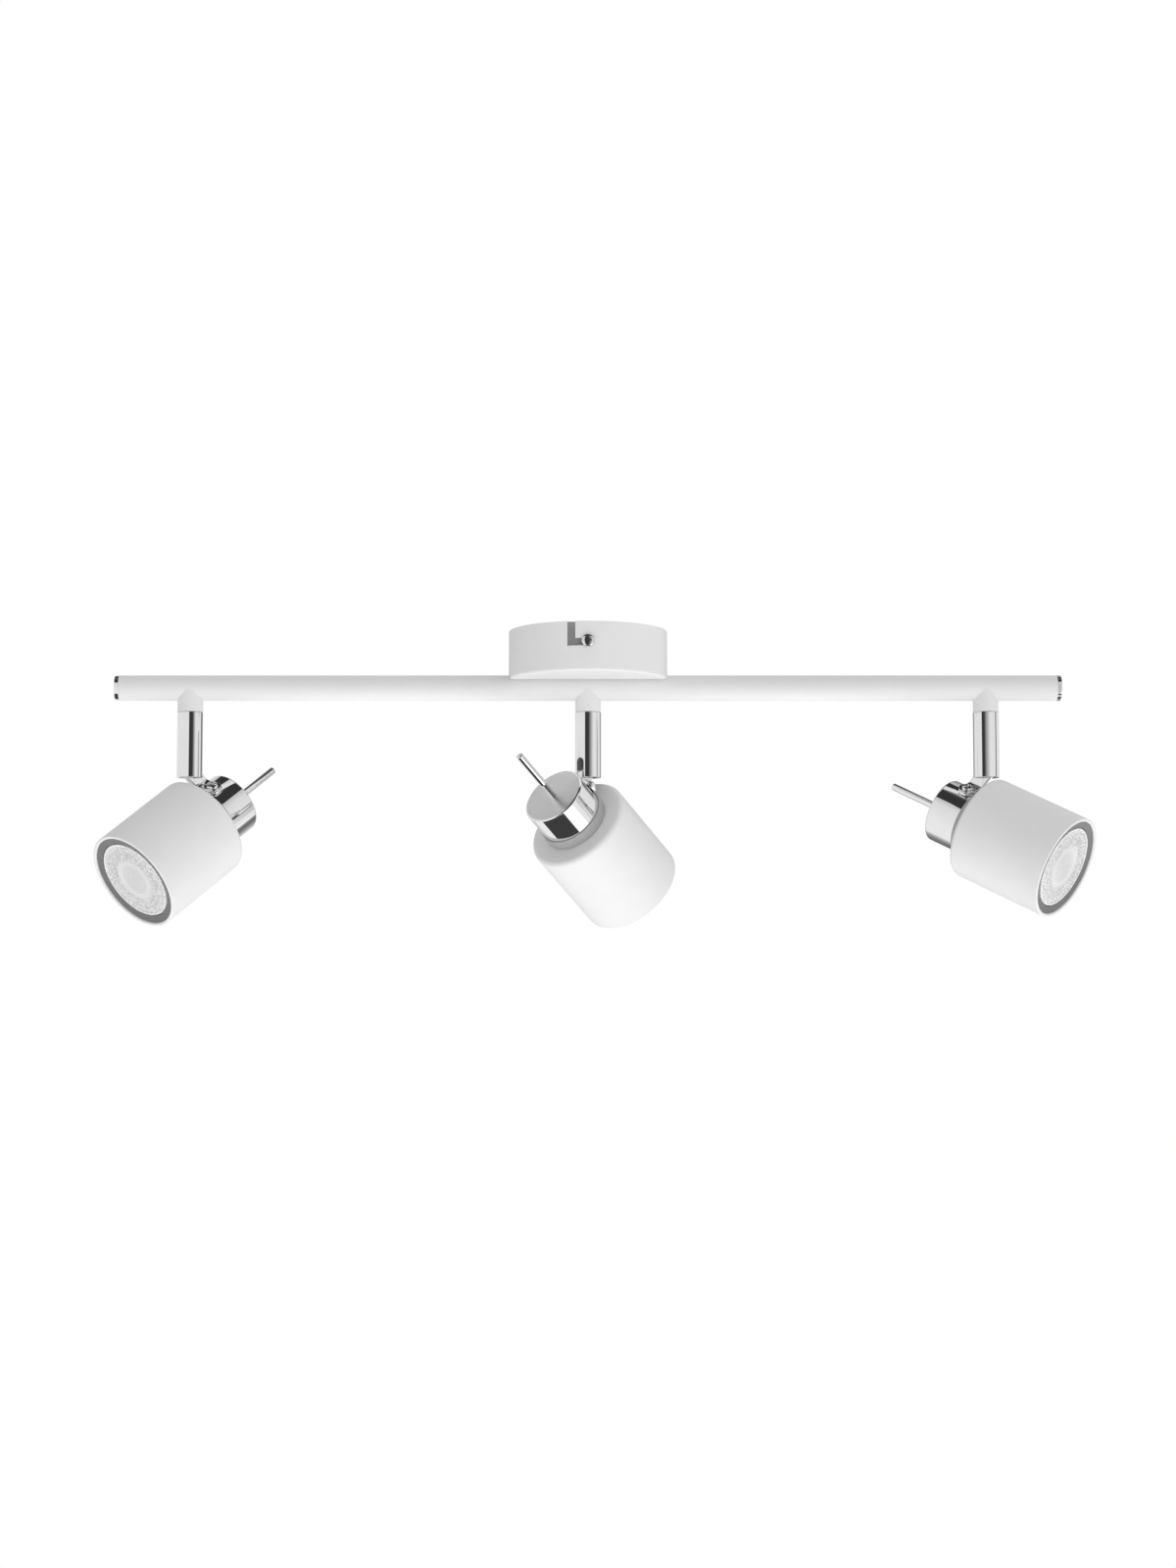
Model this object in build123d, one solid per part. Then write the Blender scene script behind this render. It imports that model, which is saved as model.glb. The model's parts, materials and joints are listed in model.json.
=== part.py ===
from build123d import *
import os

# A three-spot ceiling fixture: a round canopy carries a straight bar, and three stems hang
# from the bar, each with a tilting spot head for a twist-lock reflector lamp.
# Origin: centre of the canopy on the ceiling plane. X runs along the bar, -Y is the front.

# ---- driving dimensions, mm and degrees ----
CANOPY_R = 45.2
CANOPY_HEIGHT = 28.0
CANOPY_WALL = 1.2
CANOPY_EDGE_R = 1.5

BAR_R = 7.25
BAR_WALL = 1.0
BAR_LENGTH = 540.0
BAR_Z = -32.2
END_CAP_LENGTH = 2.5
STEM_SPACING = 227.0

STEM_R = 7.3
STEM_WALL = 1.0
STEM_TOP_Z = -46.4
STEM_BOTTOM_Z = -83.6
PIVOT_Z = -80.0
SLOT_WIDTH = 5.0
SLOT_TOP_Z = -72.5

# the spot head, measured along its own axis from the hinge pin towards the lamp
AXIS_DROP = 30.6
CUP_R = 18.4
CUP_REAR = -15.8
CUP_FRONT = 2.7
NECK_RING_R = 19.2
SHADE_REAR = 9.0
SHADE_FRONT = 68.35
SHADE_R = 30.0
SHADE_WALL = 1.9
SHADE_EDGE_R = 2.5
LAMP_FACE = 66.9
LAMP_R = 25.0
LENS_R = 23.5
LAMP_RING_FACE = 67.3
ROD_R = 2.0
ROD_LENGTH = 35.4

# one entry per arm: place along the bar, swivel, tilt below level, side the foot folds to
ARMS = {
    "left": (-STEM_SPACING, -47.0, 35.5, 1),
    "centre": (0.0, 140.0, 35.0, -1),
    "right": (STEM_SPACING, 57.5, 25.5, -1),
}

# ---- fits and gauges ----
RUNNING = 0.05        # radial clearance of a pin in its bore
SEAT = 0.05           # clearance of pieces that sit inside each other
BIG = 200.0           # longer than any cut needs

# mounting strip on the ceiling
STRIP_WIDTH = 26.0
STRIP_GAUGE = 1.5
STRIP_REACH = 41.6
TAB_DROP = 16.0
CEILING_SLOT_SPACING = 50.0
CEILING_SLOT_LENGTH = 12.0
CEILING_SLOT_WIDTH = 4.6
CABLE_HOLE_R = 6.0
EARTH_Y = -12.5
EARTH_R = 2.0

# twist-lock slots in the canopy wall and the side screws in them
LOCK_LEG_X = -9.3
LOCK_LEG_WIDTH = 4.4
LOCK_TOP_Z = -9.5
LOCK_BOTTOM_Z = -13.8
SIDE_SCREW_Z = -11.0
SIDE_SCREW_R = 1.5
SIDE_HEAD_R = 3.6
SIDE_HEAD_HEIGHT = 2.2

# canopy floor
CHANNEL_WALL = 1.2
BAR_SCREW_X = 28.0
BAR_SCREW_R = 2.0
BAR_HEAD_R = 3.8
BAR_HEAD_HEIGHT = 2.4
PAD_R = 5.0
PAD_TOP_Z = -22.9
RIVET_R = 3.2
RIVET_BULGE_R = 4.2
RIVET_BOTTOM_Z = -34.0
WIRE_HOLE_R = 4.1
WIRE_R = 0.9
WIRE_Z = -36.4
WIRE_Y = 2.0

TERMINAL_SIZE = (30.0, 16.0, 12.0)
TERMINAL_Y = 26.0
TERMINAL_POLES = 3
TERMINAL_PITCH = 9.0

# stem swivel
SOCKET_BOTTOM_Z = -46.2
SOCKET_TOP_Z = BAR_Z - 1.0
SOCKET_CHAMBER_R = 6.1
WEB_TOP_Z = -43.3
WEB_BOTTOM_Z = -44.8
NECK_R = 3.9
NECK_TOP_Z = -40.0
BOSS_R = 4.8
BOSS_TOP_Z = -44.9
STOP_R = 5.8
RECESS_R = 6.0
STOP_ANGLE = 15.0
WIRE_BORE_R = 2.5
PLUG_DEPTH = 4.0

# tilt hinge
YOKE_TOP_Z = -69.5
YOKE_BOTTOM_Z = -83.4
PIN_R = 1.5
PIN_LENGTH = 12.4
TAB_THICKNESS = 4.2
EYE_R = 4.4
FOOT_ANGLE = 27.0
FOOT_GAUGE = 1.6
FOOT_NEAR = -6.4      # along the head axis
FOOT_FAR = 1.6
FOOT_SCREW_R = 1.75
FOOT_HEAD_R = 3.3
FOOT_HEAD_HEIGHT = 2.0
FOOT_WASHER_R = 5.0
FOOT_WASHER_GAUGE = 0.6

# inside the head
CUP_WALL = 1.0
CUP_BEVEL = 1.0
SPIGOT_R = 16.4
SPIGOT_WALL = 0.9
RING_OUTER_R = 19.5
RING_LENGTH = 3.0
HOLDER_R = 13.8
HOLDER_REAR = -8.0
HOLDER_FRONT = 13.2
HOLDER_BOSS_R = 6.0
THREAD_R = 1.6
THREAD_LENGTH = 11.0
LAMP_BASE_R = 13.0
LAMP_BASE = 13.4
LAMP_WALL = 1.6
LAMP_RIM_LENGTH = 6.0
LENS_GAUGE = 3.0
LAMP_RING_GAUGE = 2.0
LAMP_RING_BORE_R = 24.1
LAMP_RING_SKIRT = 4.0
CONTACT_SPACING = 10.0
CONTACT_HEAD_R = 2.4
CONTACT_NECK_R = 1.5
CONTACT_LENGTH = 7.0
CONTACT_HEAD_LENGTH = 2.2


# ---- helpers ----
def upright(radius, low, high, x=0.0, y=0.0):
    """A vertical cylinder between two heights."""
    return Pos(x, y, (low + high) / 2) * Cylinder(radius, high - low)


def tube(outer, inner, low, high, x=0.0, y=0.0):
    return upright(outer, low, high, x, y) - upright(inner, low - 1, high + 1, x, y)


def along_x(radius, length, x=0.0, y=0.0, z=0.0):
    return Pos(x, y, z) * Rot(0, 90, 0) * Cylinder(radius, length)


def block(x0, x1, y0, y1, z0, z1):
    size = (x1 - x0, y1 - y0, z1 - z0)
    return Pos((x0 + x1) / 2, (y0 + y1) / 2, (z0 + z1) / 2) * Box(*size)


def turned(points):
    """A solid of revolution about Z from (radius, height) corners."""
    wire = Polyline(*[(r, 0, z) for r, z in points], close=True)
    return revolve(make_face(wire), Axis.Z)


def pan_screw(head_r, head_height, shank_r, shank_length):
    """Cross-recess pan-head screw, head up, its seat at the origin."""
    head = Pos(0, 0, head_height / 2) * Cylinder(head_r, head_height)
    head = fillet(head.edges().group_by(Axis.Z)[-1], head_height * 0.45)
    arm = head_r * 0.95
    recess = Box(arm, arm * 0.28, head_height) + Box(arm * 0.28, arm, head_height)
    head -= Pos(0, 0, head_height) * recess
    return head + Pos(0, 0, -shank_length / 2) * Cylinder(shank_r, shank_length)


def hexagon_nut(across_flats, bore_r, height):
    """A nut standing on the XY plane."""
    outline = RegularPolygon(across_flats / 2, 6, major_radius=False)
    return extrude(outline, height) - upright(bore_r, -1, height + 1)


# ---- canopy and ceiling hardware ----
def canopy():
    floor_z = -CANOPY_HEIGHT
    shell = upright(CANOPY_R, floor_z, 0)
    shell = fillet(shell.edges().group_by(Axis.Z)[0], CANOPY_EDGE_R)
    envelope = shell
    shell -= upright(CANOPY_R - CANOPY_WALL, floor_z + CANOPY_WALL, 1)
    # pressed channel that the bar lies in
    channel = along_x(BAR_R + CHANNEL_WALL, BIG, z=BAR_Z)
    shell += channel & envelope
    for x in (-BAR_SCREW_X, BAR_SCREW_X):
        shell += upright(PAD_R, floor_z + CANOPY_WALL, PAD_TOP_Z, x)
    shell -= along_x(BAR_R + SEAT, BIG, z=BAR_Z)
    for x in (-BAR_SCREW_X, BAR_SCREW_X):
        shell -= upright(BAR_SCREW_R + SEAT, -BIG, 0, x)
    shell -= upright(WIRE_HOLE_R, -BIG, 0)
    # twist-lock slot at the front, and the same one turned half round at the back
    leg = LOCK_LEG_WIDTH / 2
    slot = block(LOCK_LEG_X - leg, LOCK_LEG_X + leg, -BIG, 0, LOCK_BOTTOM_Z, 1)
    slot += block(LOCK_LEG_X, 0, -BIG, 0, LOCK_BOTTOM_Z, LOCK_TOP_Z)
    slot_end_r = (LOCK_TOP_Z - LOCK_BOTTOM_Z) / 2
    slot_end = Rot(90, 0, 0) * Cylinder(slot_end_r, BIG)
    slot += Pos(0, -BIG / 2, (LOCK_TOP_Z + LOCK_BOTTOM_Z) / 2) * slot_end
    return shell - slot - Rot(0, 0, 180) * slot


def mounting_strip():
    half = STRIP_WIDTH / 2
    strip = block(-half, half, -STRIP_REACH, STRIP_REACH, -STRIP_GAUGE, 0)
    for sign in (-1, 1):
        inner = sign * (STRIP_REACH - STRIP_GAUGE)
        low, high = sorted((inner, sign * STRIP_REACH))
        strip += block(-half, half, low, high, -TAB_DROP, 0)
    strip -= Pos(0, 0, SIDE_SCREW_Z) * Rot(90, 0, 0) * Cylinder(SIDE_SCREW_R + SEAT, BIG)
    for y in (-CEILING_SLOT_SPACING / 2, CEILING_SLOT_SPACING / 2):
        outline = SlotOverall(CEILING_SLOT_LENGTH, CEILING_SLOT_WIDTH, rotation=90)
        strip -= Pos(0, y, -5) * extrude(outline, 10)
    strip -= upright(CABLE_HOLE_R, -5, 5)
    return strip - upright(EARTH_R + SEAT, -5, 5, 0, EARTH_Y)


def canopy_screws():
    """Side screws, front and back, through the lock slots into the strip's tabs."""
    reach = CANOPY_R - STRIP_REACH + STRIP_GAUGE + 1.0
    screw = pan_screw(SIDE_HEAD_R, SIDE_HEAD_HEIGHT, SIDE_SCREW_R, reach)
    front = Pos(0, -CANOPY_R, SIDE_SCREW_Z) * Rot(90, 0, 0) * screw
    return [front, Rot(0, 0, 180) * front]


def earth_screw():
    screw = pan_screw(3.6, 2.2, EARTH_R, STRIP_GAUGE - 0.1)
    return Pos(0, EARTH_Y, -STRIP_GAUGE) * Rot(180, 0, 0) * screw


def terminal_block():
    length, depth, height = TERMINAL_SIZE
    floor = -CANOPY_HEIGHT + CANOPY_WALL
    body = block(-length / 2, length / 2, TERMINAL_Y - depth / 2, TERMINAL_Y + depth / 2,
                 floor, floor + height)
    for x, y in terminal_places():
        body -= upright(1.9, floor + height / 2, 1, x, y)
    for x in terminal_columns():
        body -= Pos(x, TERMINAL_Y, floor + height * 0.35) * Rot(90, 0, 0) * Cylinder(1.7, BIG)
    return body


def terminal_columns():
    first = -(TERMINAL_POLES - 1) / 2
    return [(first + i) * TERMINAL_PITCH for i in range(TERMINAL_POLES)]


def terminal_places():
    return [(x, TERMINAL_Y + dy) for x in terminal_columns() for dy in (-4.0, 4.0)]


def terminal_screws():
    top = -CANOPY_HEIGHT + CANOPY_WALL + TERMINAL_SIZE[2] - 1.0
    low = top - 4.5
    screws = []
    for x, y in terminal_places():
        driver_slot = block(x - 2, x + 2, y - 0.3, y + 0.3, top - 0.8, top + 1)
        screws.append(upright(1.75, low, top, x, y) - driver_slot)
    return screws


def wire_grommet():
    top = BAR_Z + BAR_R + CHANNEL_WALL
    ring = tube(WIRE_HOLE_R - SEAT, 3.0, BAR_Z + BAR_R - 2.0, top + 0.1)
    return ring + tube(WIRE_HOLE_R + 1.2, 3.0, top + 0.05, top + 1.0)


# ---- bar ----
def bar_tube():
    length = BAR_LENGTH - 2 * END_CAP_LENGTH
    bar = along_x(BAR_R, length) - along_x(BAR_R - BAR_WALL, length + 2)
    bar = Pos(0, 0, BAR_Z) * bar
    bar -= upright(WIRE_HOLE_R, BAR_Z, 0)
    for x in (-BAR_SCREW_X, BAR_SCREW_X):
        bar -= upright(RIVET_R + SEAT, BAR_Z, 0, x)
    for x, _swivel, _tilt, _side in ARMS.values():
        bar -= upright(WIRE_BORE_R + 0.6, -BIG, BAR_Z, x)
    return bar


def bar_end_caps():
    """Polished discs with plugs that fit inside the bar, left and right."""
    disc = Cylinder(BAR_R, END_CAP_LENGTH)
    disc = chamfer(disc.edges().group_by(Axis.Z)[-1], 0.5)
    cap = disc + Pos(0, 0, -END_CAP_LENGTH / 2 - 4) * Cylinder(BAR_R - BAR_WALL - SEAT, 8)
    centre_x = (BAR_LENGTH - END_CAP_LENGTH) / 2
    return [Pos(sign * centre_x, 0, BAR_Z) * Rot(0, sign * 90, 0) * cap for sign in (-1, 1)]


def bar_fixing_screws():
    screw = pan_screw(BAR_HEAD_R, BAR_HEAD_HEIGHT, BAR_SCREW_R, PAD_TOP_Z - RIVET_BOTTOM_Z - 1)
    return [Pos(x, 0, PAD_TOP_Z) * screw for x in (-BAR_SCREW_X, BAR_SCREW_X)]


def bar_rivet_nuts():
    wall_inside = BAR_Z + BAR_R - BAR_WALL
    nut = tube(RIVET_R, BAR_SCREW_R + RUNNING, RIVET_BOTTOM_Z, wall_inside + BAR_WALL * 0.1)
    nut += tube(RIVET_BULGE_R, BAR_SCREW_R + RUNNING, wall_inside - 4.6, wall_inside - 1.6)
    return [Pos(x, 0, 0) * nut for x in (-BAR_SCREW_X, BAR_SCREW_X)]


def bar_wires():
    """Two leads along the bar, each rising through the grommet into the canopy."""
    leads = []
    for side in (-1, 1):
        lead = along_x(WIRE_R, 2 * STEM_SPACING, y=side * WIRE_Y, z=WIRE_Z)
        lead += upright(WIRE_R, WIRE_Z, -17.0, 0, side * WIRE_Y)
        leads.append(lead)
    return leads


def stem_socket():
    """Socket under the bar: saddle above, swivel chamber, web, and a recess with a stop."""
    body = upright(BAR_R, SOCKET_BOTTOM_Z, SOCKET_TOP_Z)
    body -= upright(SOCKET_CHAMBER_R, WEB_TOP_Z, BAR_Z)
    body -= upright(NECK_R + 2 * RUNNING, -BIG, BAR_Z)
    body -= upright(RECESS_R, -BIG, WEB_BOTTOM_Z)
    body += stop_lug(BOSS_R + 0.2, RECESS_R + 0.3, SOCKET_BOTTOM_Z, WEB_BOTTOM_Z, 90)
    return body - along_x(BAR_R + 0.01, BIG, z=BAR_Z)


def stop_lug(inner, outer, low, high, direction):
    """A short arc-shaped lug about the stem's axis, centred on a direction in degrees."""
    sector = Cylinder(outer, high - low, arc_size=STOP_ANGLE) - Cylinder(inner, BIG)
    return Pos(0, 0, (low + high) / 2) * Rot(0, 0, direction - STOP_ANGLE / 2) * sector


# ---- stem, drawn at x = 0 with the head facing -Y ----
def stem_tube():
    body = tube(STEM_R, STEM_R - STEM_WALL, STEM_BOTTOM_Z, STEM_TOP_Z)
    half = SLOT_WIDTH / 2
    slot = block(-half, half, 0, BIG, -BIG, SLOT_TOP_Z - half)
    slot_end = Rot(90, 0, 0) * Cylinder(half, BIG)
    slot += Pos(0, BIG / 2, SLOT_TOP_Z - half) * slot_end
    return body - slot


def swivel_nipple():
    body = upright(STEM_R - STEM_WALL - SEAT, STEM_TOP_Z - PLUG_DEPTH, STEM_TOP_Z)
    body += upright(BOSS_R, STEM_TOP_Z, BOSS_TOP_Z)
    body += stop_lug(BOSS_R - 0.3, STOP_R, STEM_TOP_Z - 0.2, BOSS_TOP_Z, -90)
    body += upright(NECK_R, BOSS_TOP_Z, NECK_TOP_Z)
    return body - upright(WIRE_BORE_R, -BIG, 0)


def swivel_nut():
    """Round slotted nut and the friction washer under it."""
    washer = tube(5.4, NECK_R + SEAT, WEB_TOP_Z + 0.05, WEB_TOP_Z + 0.65)
    nut = tube(5.6, NECK_R + 0.02, WEB_TOP_Z + 0.7, WEB_TOP_Z + 3.1)
    for angle in (0, 90):
        notch = Rot(0, 0, angle) * Box(BIG, 1.2, 1.6)
        nut -= Pos(0, 0, WEB_TOP_Z + 3.1) * notch
    return [nut, washer]


def hinge_yoke():
    """Forked plug in the stem's lower end that carries the hinge pin."""
    body = upright(STEM_R - STEM_WALL - SEAT, YOKE_BOTTOM_Z, YOKE_TOP_Z)
    half = SLOT_WIDTH / 2
    body -= block(-half, half, -BIG, BIG, -BIG, SLOT_TOP_Z)
    body -= upright(WIRE_BORE_R, -BIG, 0)
    return body - along_x(PIN_R + RUNNING, BIG, z=PIVOT_Z)


def hinge_pin():
    pin = chamfer(Cylinder(PIN_R, PIN_LENGTH).edges().filter_by(GeomType.CIRCLE), 0.25)
    return Pos(0, 0, PIVOT_Z) * Rot(0, 90, 0) * pin


# ---- head, drawn with the pin at the origin, its axis level, the lamp facing -Y ----
def on_axis(shape):
    """Moves a shape turned about Z, heights measured along the head, onto the head axis."""
    return Pos(0, 0, -AXIS_DROP) * Rot(90, 0, 0) * shape


def on_foot(shape, side, height):
    """Stands a shape on the bracket's foot, over its screw, at a height above the cup."""
    middle = (FOOT_NEAR + FOOT_FAR) / 2
    place = Pos(0, -middle, -AXIS_DROP) * Rot(0, side * FOOT_ANGLE, 0) * Pos(0, 0, CUP_R + height)
    return place * shape


def hinge_bracket(side):
    half = TAB_THICKNESS / 2
    low = -(AXIS_DROP - CUP_R) + 1.6
    eye = Rot(0, 90, 0) * Cylinder(EYE_R, TAB_THICKNESS)
    outline = make_hull([
        *(Circle(EYE_R).edges()),
        *Polyline((-FOOT_FAR, low), (-FOOT_NEAR, low), (-FOOT_NEAR, low + 2.4),
                  (-FOOT_FAR, low + 2.4), close=True).edges(),
    ])
    tab = extrude(Plane.YZ * outline, half, both=True)
    middle = (FOOT_NEAR + FOOT_FAR) / 2
    width = FOOT_FAR - FOOT_NEAR
    # the foot runs from inside the tab to past the screw, with rounded outer corners
    reach_in = 9.4
    reach_out = 5.4
    plate = Box(reach_in + reach_out, width, FOOT_GAUGE)
    plate = Pos((reach_out - reach_in) / 2, 0, FOOT_GAUGE / 2 + 0.02) * plate
    plate = fillet(plate.edges().filter_by(Axis.Z).group_by(Axis.X)[-1], 3.0)
    plate = plate if side > 0 else mirror(plate, Plane.YZ)
    foot = on_foot(plate, side, 0)
    keep_off_axis = block(-BIG, BIG, -BIG, BIG, -AXIS_DROP, -EYE_R)
    body = tab + eye + (foot & keep_off_axis)
    body -= along_x(PIN_R + RUNNING, BIG)
    body -= on_foot(Cylinder(FOOT_SCREW_R + SEAT, 8), side, 0)
    return body - on_axis(upright(CUP_R + 0.02, -BIG, BIG))


def bracket_fixings(side):
    """The foot's screw, its washer, and the nut inside the cup."""
    seat = 0.02 + FOOT_GAUGE + FOOT_WASHER_GAUGE
    screw = pan_screw(FOOT_HEAD_R, FOOT_HEAD_HEIGHT, FOOT_SCREW_R, seat + CUP_WALL + 3.4)
    washer = tube(FOOT_WASHER_R, FOOT_SCREW_R + SEAT, -FOOT_WASHER_GAUGE, 0)
    nut = hexagon_nut(6.0, FOOT_SCREW_R + RUNNING, 2.6)
    nut_z = -CUP_WALL - 2.6 - 0.45
    return [on_foot(screw, side, seat), on_foot(washer, side, seat), on_foot(nut, side, nut_z)]


def lampholder_cup(side):
    step = CUP_FRONT
    shoulder = step - CUP_WALL
    end = SHADE_REAR + SHADE_WALL + RING_LENGTH
    spigot_in = SPIGOT_R - SPIGOT_WALL
    body = turned([(0, CUP_REAR), (CUP_R, CUP_REAR), (CUP_R, step), (SPIGOT_R, step),
                   (SPIGOT_R, end), (spigot_in, end), (spigot_in, shoulder),
                   (CUP_R - CUP_WALL, shoulder), (CUP_R - CUP_WALL, CUP_REAR + CUP_WALL),
                   (0, CUP_REAR + CUP_WALL)])
    body = chamfer(body.edges().group_by(Axis.Z)[0], CUP_BEVEL)
    body -= upright(THREAD_R + SEAT, -BIG, BIG)
    body = on_axis(body)
    return body - on_foot(Cylinder(FOOT_SCREW_R + SEAT, 12), side, 0)


def handle_rod():
    body = upright(ROD_R, CUP_REAR - ROD_LENGTH, CUP_REAR)
    body = fillet(body.edges().group_by(Axis.Z)[0], 0.5)
    body += upright(THREAD_R, CUP_REAR, CUP_REAR + THREAD_LENGTH)
    return on_axis(body)


def shade():
    body = upright(SHADE_R, SHADE_REAR, SHADE_FRONT)
    body = fillet(body.edges().group_by(Axis.Z)[0], SHADE_EDGE_R)
    room = upright(SHADE_R - SHADE_WALL, SHADE_REAR + SHADE_WALL, SHADE_FRONT + 1)
    room = fillet(room.edges().group_by(Axis.Z)[0], SHADE_EDGE_R - SHADE_WALL)
    body -= room
    body = fillet(body.edges().group_by(Axis.Z)[-1], SHADE_WALL * 0.4)
    return on_axis(body - upright(SPIGOT_R + SEAT, -BIG, SHADE_REAR + 3))


def shade_rings():
    """The rings that clamp the shade on the cup: a neck ring behind it, a nut inside it."""
    neck = upright(NECK_RING_R, CUP_FRONT, SHADE_REAR)
    neck = chamfer(neck.edges().filter_by(GeomType.CIRCLE), 0.3)
    neck -= upright(SPIGOT_R + SEAT, -BIG, BIG)
    low = SHADE_REAR + SHADE_WALL
    nut = tube(RING_OUTER_R, SPIGOT_R + SEAT, low, low + RING_LENGTH)
    for angle in range(0, 180, 45):
        notch = Rot(0, 0, angle) * Box(BIG, 2.0, 2.0)
        nut -= Pos(0, 0, low + RING_LENGTH) * notch
    return [on_axis(neck), on_axis(nut)]


def lamp_ring():
    """Retaining ring in the shade's mouth, in front of the lamp's rim, with a gripping skirt."""
    outer = SHADE_R - SHADE_WALL - SEAT
    low = LAMP_RING_FACE - LAMP_RING_GAUGE
    body = tube(outer, LAMP_RING_BORE_R, low, LAMP_RING_FACE)
    body = chamfer(body.edges().group_by(Axis.Z)[-1], 0.25)
    return on_axis(body + tube(outer, outer - 1.0, low - LAMP_RING_SKIRT, low + 0.5))


def contact_places():
    return (-CONTACT_SPACING / 2, CONTACT_SPACING / 2)


def lampholder():
    """Ceramic lampholder with two keyhole sockets, held by the handle's thread."""
    body = upright(HOLDER_R, HOLDER_REAR, HOLDER_FRONT)
    body = fillet(body.edges().group_by(Axis.Z)[0], 1.5)
    body += upright(HOLDER_BOSS_R, CUP_REAR + CUP_WALL, HOLDER_REAR + 1)
    body -= upright(THREAD_R + SEAT, CUP_REAR, CUP_REAR + THREAD_LENGTH + 1)
    for x in contact_places():
        body -= upright(CONTACT_HEAD_R + 0.5, HOLDER_FRONT - 9, HOLDER_FRONT + 1, x)
    return on_axis(body)


def lamp_housing():
    """Lamp body: contact pins, base, flaring wall and the rim that holds the lens."""
    rim = LAMP_FACE - LAMP_RIM_LENGTH
    front = LAMP_RING_FACE - LAMP_RING_GAUGE
    waist = LAMP_BASE + 14.0
    inner = LAMP_R - LAMP_WALL
    body = turned([(0, LAMP_BASE), (LAMP_BASE_R, LAMP_BASE), (LAMP_BASE_R, waist - 2),
                   (LAMP_BASE_R + 2.5, waist), (LAMP_R, rim), (LAMP_R, front),
                   (LENS_R + SEAT, front), (LENS_R + SEAT, LAMP_FACE - LENS_GAUGE - 0.1),
                   (LENS_R - 2, LAMP_FACE - LENS_GAUGE - 0.1), (inner - 2, rim),
                   (LAMP_BASE_R + 1, waist + 1), (LAMP_BASE_R - 2, waist - 1),
                   (LAMP_BASE_R - 2, LAMP_BASE + 3), (0, LAMP_BASE + 3)])
    neck = LAMP_BASE - CONTACT_LENGTH
    for x in contact_places():
        body += upright(CONTACT_NECK_R, neck, LAMP_BASE, x)
        body += upright(CONTACT_HEAD_R, neck, neck + CONTACT_HEAD_LENGTH, x)
    return on_axis(body)


def lamp_lens():
    back = LAMP_FACE - LENS_GAUGE
    body = upright(LENS_R, back, LAMP_FACE)
    return on_axis(chamfer(body.edges().group_by(Axis.Z)[-1], 0.4))


# ---- assembly ----
def fixed_pieces():
    return {
        "canopy": canopy(),
        "mounting_strip": mounting_strip(),
        "canopy_side_screws": canopy_screws(),
        "earth_screw": earth_screw(),
        "terminal_block": terminal_block(),
        "terminal_screws": terminal_screws(),
        "wire_grommet": wire_grommet(),
        "bar_tube": bar_tube(),
        "bar_end_caps": bar_end_caps(),
        "bar_fixing_screws": bar_fixing_screws(),
        "bar_rivet_nuts": bar_rivet_nuts(),
        "bar_wires": bar_wires(),
    }


def stem_pieces():
    return {
        "stem_tube": stem_tube(),
        "swivel_nipple": swivel_nipple(),
        "swivel_nut": swivel_nut(),
        "hinge_yoke": hinge_yoke(),
        "hinge_pin": hinge_pin(),
    }


def head_pieces(side):
    return {
        "hinge_bracket": hinge_bracket(side),
        "bracket_fixings": bracket_fixings(side),
        "lampholder_cup": lampholder_cup(side),
        "handle_rod": handle_rod(),
        "shade": shade(),
        "shade_rings": shade_rings(),
        "lampholder": lampholder(),
        "lamp_housing": lamp_housing(),
        "lamp_lens": lamp_lens(),
        "lamp_ring": lamp_ring(),
    }


def placed(shape, place):
    if isinstance(shape, list):
        return Compound([solid for item in shape for solid in (place * item).solids()])
    solids = (place * shape).solids()
    return solids[0] if len(solids) == 1 else Compound(solids)


def write(name, shape, place=Pos(0, 0, 0)):
    export_step(placed(shape, place), f"parts/{name}.step")


os.makedirs("parts", exist_ok=True)
for name, shape in fixed_pieces().items():
    write(name, shape)
for arm, (x, swivel, tilt, side) in ARMS.items():
    under_bar = Pos(x, 0, 0)
    write(f"stem_socket_{arm}", stem_socket(), under_bar)
    turned_stem = under_bar * Rot(0, 0, swivel)
    for name, shape in stem_pieces().items():
        write(f"{name}_{arm}", shape, turned_stem)
    tilted_head = turned_stem * Pos(0, 0, PIVOT_Z) * Rot(tilt, 0, 0)
    for name, shape in head_pieces(side).items():
        write(f"{name}_{arm}", shape, tilted_head)
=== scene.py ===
import json
import math

import bmesh
import bpy
from mathutils import Matrix, Vector


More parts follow.
